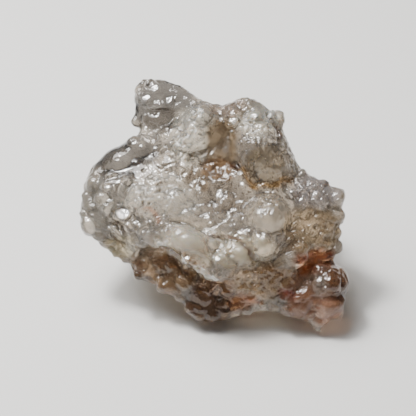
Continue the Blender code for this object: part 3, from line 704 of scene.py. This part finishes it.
# Colours as the eye takes them, 0 to 1: across, up, reach across, reach up, colour, strength
bodyColour = (0.60, 0.575, 0.54)
zones = {
    "band white": (-7.0, 1.0, 6.0, 3.0, (0.66, 0.65, 0.62), 0.8),
    "middle grey": (1.0, 1.0, 3.5, 2.5, (0.38, 0.35, 0.32), 0.8),
    "left end": (-15.0, -0.5, 3.0, 4.0, (0.58, 0.57, 0.54), 0.8),
    "rim lobe": (-12.0, -5.4, 2.4, 1.8, (0.66, 0.62, 0.51), 0.9),
    "shoulder glass": (-11.6, 6.0, 4.4, 2.8, (0.28, 0.28, 0.28), 0.9),
    "horn glass": (-6.6, 12.7, 4.4, 3.7, (0.29, 0.29, 0.29), 1.0),
    "horn shade": (-6.6, 10.9, 2.8, 1.1, (0.22, 0.21, 0.20), 0.9),
    "upper left white": (-2.8, 8.6, 2.8, 4.0, (0.72, 0.71, 0.67), 0.8),
    "basin": (0.8, 7.4, 2.4, 3.6, (0.42, 0.34, 0.23), 0.9),
    "basin floor": (0.8, 4.4, 2.8, 1.4, (0.34, 0.23, 0.12), 0.9),
    "basin left": (-2.2, 3.0, 1.8, 1.6, (0.30, 0.22, 0.13), 0.7),
    "dome streak": (3.9, 5.6, 1.8, 3.2, (0.34, 0.31, 0.28), 0.8),
    "dome gold": (6.6, 4.6, 3.2, 2.8, (0.44, 0.39, 0.31), 0.8),
    "dome crown": (5.4, 10.6, 3.4, 2.2, (0.77, 0.76, 0.71), 0.6),
    "dome top": (1.6, 12.2, 2.4, 1.3, (0.58, 0.50, 0.44), 0.6),
    "white knob": (6.9, 10.9, 1.3, 0.9, (0.76, 0.76, 0.74), 0.9),
    "cream bulge": (6.6, -1.2, 2.8, 2.6, (0.59, 0.56, 0.51), 0.9),
    "shelf": (-2.5, -5.0, 5.0, 3.0, (0.83, 0.80, 0.74), 0.9),
    "shelf right": (3.8, -5.8, 3.6, 2.2, (0.79, 0.75, 0.66), 0.8),
    "right end": (12.6, 1.6, 3.4, 2.4, (0.60, 0.58, 0.58), 0.8),
    "right gold": (12.0, -3.2, 4.0, 3.2, (0.60, 0.51, 0.38), 0.8),
    "lower middle": (6.0, -9.5, 4.5, 2.5, (0.62, 0.50, 0.35), 0.9),
    "undershelf": (-6.0, -8.2, 4.8, 3.0, (0.54, 0.43, 0.31), 0.95),
    "under right": (0.0, -10.2, 3.0, 1.2, (0.41, 0.26, 0.10), 0.9),
    "amber": (-0.5, -12.4, 4.0, 2.6, (0.29, 0.17, 0.05), 0.95),
    "amber red": (3.4, -12.4, 1.8, 1.4, (0.44, 0.24, 0.10), 0.9),
    "rust": (12.4, -7.2, 2.6, 2.0, (0.50, 0.27, 0.14), 0.95),
    "rust lower": (10.5, -10.5, 2.2, 2.2, (0.53, 0.37, 0.27), 0.8),
    "pink": (12.5, -12.6, 3.8, 2.4, (0.62, 0.44, 0.34), 0.9),
    "red spot": (9.0, -11.0, 1.4, 1.0, (0.52, 0.30, 0.22), 0.8),
    "glossy crown": (13.4, -9.2, 1.7, 2.2, (0.40, 0.34, 0.30), 0.7),
    "olive lobe": (15.5, -9.8, 1.9, 2.6, (0.38, 0.23, 0.10), 0.9),
    "under left": (-9.2, -8.4, 1.8, 1.6, (0.33, 0.25, 0.18), 0.8),
    "recess": (-5.4, -7.0, 2.0, 1.0, (0.56, 0.42, 0.30), 0.7),
}
unseen = {  # the back and underside take this colour
    "colour": (0.66, 0.60, 0.53),
    "strength": 0.8,
    "turned": (-0.9, -0.3),
    "depthShare": 0.08,
}
wander = {  # how far the tints stray from their zones: size and reach, mm
    "broad": (2.2, 0.7),
    "fine": (0.7, 0.3),
    "haze": 0.9,
}
tintEdge = (0.7, 1.15)
hazeEdge = (0.6, 1.25)
shelfEdgeHaze = 0.4  # half width, mm
hollowRounds = (24, 4)  # the skin is averaged over a wide and a narrow reach, and their gap is the hollow

# Coloured along creases and edges: path, half width, colour, strength
veins = {
    # painted highlight along the shelf's lip
    "shelf edge": ([(-6.9, -4.7), (-6.0, -4.7), (-5.6, -5.6), (-4.4, -6.4), (-3.5, -7.4), (-2.9, -8.0),
                    (-1.2, -8.6), (0.2, -9.0)], 0.30, (0.97, 0.96, 0.93), 1.0),
    # painted shadow just below the shelf's lip
    "under the shelf": ([(-5.7, -6.5), (-4.9, -7.2), (-4.0, -8.2), (-3.2, -9.1)],
                        0.40, (0.42, 0.28, 0.16), 0.8),
    "shelf crease": ([(-0.6, -4.0), (0.8, -3.9), (1.3, -4.1)], 0.25, (0.36, 0.27, 0.25), 0.8),
    "cream arc": ([(1.3, -4.0), (3.1, -4.4), (4.1, -5.3), (4.6, -6.5)], 0.16, (0.48, 0.34, 0.28), 0.8),
    "middle lobe edge": ([(-1.8, -5.2), (-0.8, -6.0), (-0.6, -7.2)], 0.16, (0.48, 0.38, 0.30), 0.7),
    "dome foot": ([(3.4, 4.2), (4.6, 2.4), (6.9, 2.5), (9.4, 2.9)], 0.34, (0.52, 0.37, 0.16), 0.9),
    "slit": ([(7.9, 9.3), (8.2, 8.2)], 0.24, (0.26, 0.12, 0.08), 0.95),
    "pit": ([(2.3, 5.1), (2.7, 4.9)], 0.30, (0.26, 0.12, 0.06), 0.95),
    "rust streak": ([(-8.3, -0.4), (-7.8, -0.9), (-7.3, -1.2), (-6.9, -2.0)], 0.30, (0.62, 0.40, 0.28), 0.7),
    "cleft streak": ([(10.6, -8.6), (12.0, -7.4), (13.4, -6.3), (14.6, -5.9)],
                     0.40, (0.60, 0.27, 0.10), 0.9),
    "cleft dark": ([(10.6, -6.9), (11.6, -6.3), (12.4, -6.2)], 0.35, (0.34, 0.12, 0.05), 0.9),
    "red fleck": ([(8.4, -10.8), (9.4, -10.6)], 0.35, (0.55, 0.16, 0.10), 0.7),
    "amber seam": ([(2.2, -12.2), (3.6, -12.0), (5.4, -12.4)], 0.30, (0.58, 0.30, 0.13), 0.7),
}

# Where the opal is milky rather than clear: across, up, reach across, reach up, milkiness 0 to 1
haze = {
    "all over": (0.0, 0.0, 90.0, 90.0, 0.35),
    "shoulder": (-11.6, 6.0, 4.6, 2.8, 0.2),
    "horn": (-6.6, 12.7, 4.6, 3.8, 0.0),
    "left end": (-15.0, -0.5, 3.0, 4.0, 0.5),
    "band": (-7.2, 1.2, 5.0, 2.4, 0.7),
    "flake": (-11.4, -1.1, 1.0, 1.0, 1.0),
    "upper left": (-2.8, 8.0, 2.4, 4.4, 0.7),
    "basin": (0.8, 6.4, 2.6, 3.8, 1.0),
    "dome": (6.2, 5.2, 3.2, 3.0, 0.75),
    "dome crown": (5.2, 10.8, 3.0, 1.6, 0.7),
    "bulge": (6.7, -1.6, 2.6, 2.3, 0.85),
    "shelf lobe": (-3.0, -4.7, 3.2, 1.3, 1.0),
    "round lobe": (3.6, -5.9, 1.6, 1.6, 1.0),
    "middle lobe": (0.4, -7.4, 1.6, 1.4, 0.6),
    "left lobe": (-7.4, -4.2, 1.4, 1.2, 0.8),
    "glossy crown": (13.7, -9.2, 2.0, 2.2, 0.0),
    "lower lobe": (12.8, -12.8, 3.4, 2.0, 0.5),
    "amber": (-0.5, -12.4, 4.0, 2.4, 0.1),
}


def linear(colour):
    return np.array([c / 12.92 if c <= 0.04045 else ((c + 0.055) / 1.055) ** 2.4 for c in colour])


def strayed(points, size):
    return np.array([noise.noise_vector(Vector(p) / (size * mm)) for p in points.tolist()])


def paintOpal(piece):
    mesh = piece.data
    points, outward = coordinates(mesh), normals(mesh)
    (broadSize, broadReach), (fineSize, fineReach) = wander["broad"], wander["fine"]
    broad, fine = strayed(points, broadSize), strayed(points, fineSize)
    across, up, out = onFace(points)
    across = across + broadReach * broad[:, 0] + fineReach * fine[:, 0]
    up = up + broadReach * broad[:, 1] + fineReach * fine[:, 1]

    colour = np.tile(linear(bodyColour), (len(points), 1))
    for *zone, tint, strength in zones.values():
        share = strength * within(across, up, zone, tintEdge)
        colour += (linear(tint) - colour) * share[:, None]
    inFront = steps(out, *fades["veins"])
    for path, width, tint, strength in veins.values():
        share = strength * np.exp(-((pathDistance(across, up, path) / width) ** 2)) * inFront
        colour += (linear(tint) - colour) * share[:, None]
    hidden = 1 - steps(outward @ np.array(face["out"]) + unseen["depthShare"] * out, *unseen["turned"])
    colour += (linear(unseen["colour"]) - colour) * (unseen["strength"] * hidden)[:, None]

    shelfEdge = np.exp(-((pathDistance(across, up, veins["shelf edge"][0]) / shelfEdgeHaze) ** 2))
    across, up = across + wander["haze"] * broad[:, 1], up + wander["haze"] * broad[:, 2]
    milky = np.zeros(len(points))
    for *zone, amount in haze.values():
        milky += (amount - milky) * within(across, up, zone, hazeEdge)
    milky = np.maximum(milky, shelfEdge)

    wide, narrow = (averaged(mesh, points, rounds) for rounds in hollowRounds)
    hollow = ((wide - narrow) * outward).sum(1) / mm
    # The stone tint carries the zones' colours and the painted highlight and painted shadow along the shelf's
    # lip
    colour = np.column_stack([colour, np.ones(len(points))]).astype(np.float32)
    mesh.color_attributes.new("stone tint", "FLOAT_COLOR", "POINT").data.foreach_set("color", colour.ravel())
    for name, values in (("hollow", hollow), ("haze", milky)):
        mesh.attributes.new(name, "FLOAT", "POINT").data.foreach_set("value", values.astype(np.float32))
    print("painted; hollow from", round(hollow.min(), 3), "to", round(hollow.max(), 3))


paintOpal(piece)


# The opal's finish
opalFinish = {
    "Transmission Weight": 0.82,
    "IOR": 1.45,
    "Specular IOR Level": 0.2,
    "Coat Weight": 0.5,
    "Coat Roughness": 0.04,
    "Subsurface Weight": 0.5,
    "Subsurface Radius": (1.0, 0.8, 0.6),
    "Subsurface Scale": 1.2 * mm,
}
absorption = {"Color": (0.82, 0.79, 0.75, 1), "Density": 80.0}
looks = {
    "cloud": {"Scale": 900.0, "Detail": 5.0},
    # painted shade in hollows and painted highlight on crests
    "hollow": {"From Min": -0.08, "From Max": 0.12, "To Min": 1.75, "To Max": 0.7},
    "speck": {"From Min": 0.3, "From Max": 0.7, "To Min": 0.82, "To Max": 1.14},
    "unevenHaze": {"From Min": 0.3, "From Max": 0.7, "To Min": -0.2, "To Max": 0.2},
    "roughness": {"To Min": 0.06, "To Max": 0.36},  # from clear to milky
    "cells": {"Scale": 2400.0, "Smoothness": 0.4},
    "cellBump": {"Strength": 0.5, "Distance": 0.05 * mm},
    "growth": {"Rotation": (0.6, 0.3, 0.5), "Scale": (1.0, 1.0, 0.35)},  # wrinkles are drawn out along it
    "wrinkles": {"Scale": 2000.0, "Detail": 2.0},
    "wrinkleBump": {"Strength": 0.4, "Distance": 0.04 * mm},
}


def opalMaterial():
    material = bpy.data.materials.new("milky opal")
    material.use_nodes = True
    tree = material.node_tree
    nodes, join = tree.nodes, tree.links.new
    shader = nodes["Principled BSDF"]
    for socket, value in opalFinish.items():
        shader.inputs[socket].default_value = value

    def added(kind, settings=None, **options):
        node = nodes.new(kind)
        for name, value in options.items():
            setattr(node, name, value)
        for socket, value in (settings or {}).items():
            node.inputs[socket].default_value = value
        return node

    place = added("ShaderNodeTexCoord").outputs["Object"]
    tint = added("ShaderNodeAttribute", attribute_name="stone tint")
    hollow = added("ShaderNodeAttribute", attribute_name="hollow")
    milky = added("ShaderNodeAttribute", attribute_name="haze")
    cloud = added("ShaderNodeTexNoise", looks["cloud"])
    join(place, cloud.inputs["Vector"])

    # Painted shade darkens the hollows and painted highlight pales the crests, with fine specks
    creviceShadeCrestLight = added("ShaderNodeMapRange", looks["hollow"])
    join(hollow.outputs["Fac"], creviceShadeCrestLight.inputs["Value"])
    speck = added("ShaderNodeMapRange", looks["speck"])
    join(cloud.outputs["Fac"], speck.inputs["Value"])
    paintedLightAndSpecks = added("ShaderNodeMath", operation="MULTIPLY")
    join(creviceShadeCrestLight.outputs["Result"], paintedLightAndSpecks.inputs[0])
    join(speck.outputs["Result"], paintedLightAndSpecks.inputs[1])
    shade = added("ShaderNodeVectorMath", operation="SCALE")
    join(tint.outputs["Color"], shade.inputs[0])
    join(paintedLightAndSpecks.outputs["Value"], shade.inputs["Scale"])
    join(shade.outputs["Vector"], shader.inputs["Base Color"])

    # Milky places are rough inside, clear ones smooth
    uneven = added("ShaderNodeMapRange", looks["unevenHaze"])
    join(cloud.outputs["Fac"], uneven.inputs["Value"])
    total = added("ShaderNodeMath", operation="ADD")
    join(milky.outputs["Fac"], total.inputs[0])
    join(uneven.outputs["Result"], total.inputs[1])
    gloss = added("ShaderNodeMapRange", looks["roughness"])
    join(total.outputs["Value"], gloss.inputs["Value"])
    join(gloss.outputs["Result"], shader.inputs["Roughness"])

    # Fine crackle: small cells, and thin wrinkles drawn out along the growth
    cells = added("ShaderNodeTexVoronoi", looks["cells"], feature="SMOOTH_F1")
    join(place, cells.inputs["Vector"])
    growth = added("ShaderNodeMapping", looks["growth"])
    join(place, growth.inputs["Vector"])
    wrinkles = added("ShaderNodeTexNoise", looks["wrinkles"], noise_type="RIDGED_MULTIFRACTAL")
    join(growth.outputs["Vector"], wrinkles.inputs["Vector"])
    cellBump = added("ShaderNodeBump", looks["cellBump"])
    join(cells.outputs["Distance"], cellBump.inputs["Height"])
    wrinkleBump = added("ShaderNodeBump", looks["wrinkleBump"])
    join(wrinkles.outputs["Fac"], wrinkleBump.inputs["Height"])
    join(cellBump.outputs["Normal"], wrinkleBump.inputs["Normal"])
    join(wrinkleBump.outputs["Normal"], shader.inputs["Normal"])
    join(wrinkleBump.outputs["Normal"], shader.inputs["Coat Normal"])

    absorb = added("ShaderNodeVolumeAbsorption", absorption)
    join(absorb.outputs["Volume"], nodes["Material Output"].inputs["Volume"])
    return material


piece.data.materials.append(opalMaterial())
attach(piece, "root")
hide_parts("hyalite_mass")
print("opal finished")


# Floor, light and camera
studio = {
    "floorSize": 3,
    "floorColour": (0.61, 0.60, 0.58, 1),
    "floorRoughness": 0.8,
    "worldColour": (0.88, 0.89, 0.90, 1),
    "worldStrength": 0.2,
    "aim": (0, 0, 0.012),
    "glintFrom": Vector((-0.35, 0.10, 0.90)),  # a small lamp, upper left and a little behind
    "glintAway": 0.25,
    "glintSize": 0.05,
    "glintPower": 0.9,
    "softPlace": (-0.12, 0.06, 0.30),
    "softSize": 0.25,
    "softPower": 2.1,
}


def areaLight(name, place, aim, size, power):
    deselectAll()
    bpy.ops.object.light_add(type="AREA", location=place)
    light = bpy.context.object
    light.name = name
    light.data.size = size
    light.data.energy = power
    light.rotation_euler = (Vector(aim) - Vector(place)).to_track_quat("-Z", "Y").to_euler()


glintPlace = Vector(studio["aim"]) + studio["glintFrom"].normalized() * studio["glintAway"]
areaLight("glint lamp", glintPlace, studio["aim"], studio["glintSize"], studio["glintPower"])
areaLight("soft box", studio["softPlace"], studio["aim"], studio["softSize"], studio["softPower"])

deselectAll()
bpy.ops.mesh.primitive_plane_add(size=studio["floorSize"])
floor = bpy.context.object
floor.name = "floor"
paper = bpy.data.materials.new("pale paper")
paper.use_nodes = True
paperShader = paper.node_tree.nodes["Principled BSDF"]
paperShader.inputs["Base Color"].default_value = studio["floorColour"]
paperShader.inputs["Roughness"].default_value = studio["floorRoughness"]
floor.data.materials.append(paper)

world = bpy.data.worlds.new("soft room")
world.use_nodes = True
background = world.node_tree.nodes["Background"]
background.inputs["Color"].default_value = studio["worldColour"]
background.inputs["Strength"].default_value = studio["worldStrength"]
bpy.context.scene.world = world

view = {
    "target": Vector((-0.747, -1.700, 12.613)) * mm,  # the middle of the picture
    "elevation": math.radians(40),
    "width": 52 * mm,  # what the picture takes in
    "lens": 200.0,
    "sensor": 36.0,
    "nearest": 0.01,
    "farthest": 20,
}
away = view["width"] * view["lens"] / view["sensor"]
deselectAll()
back = Vector((0, -math.cos(view["elevation"]), math.sin(view["elevation"])))
bpy.ops.object.camera_add(location=view["target"] + back * away)
camera = bpy.context.object
camera.rotation_euler = (-back).to_track_quat("-Z", "Y").to_euler()
camera.data.lens = view["lens"]
camera.data.sensor_width = view["sensor"]
camera.data.clip_start = view["nearest"]
camera.data.clip_end = view["farthest"]
bpy.context.scene.camera = camera
print("studio set")
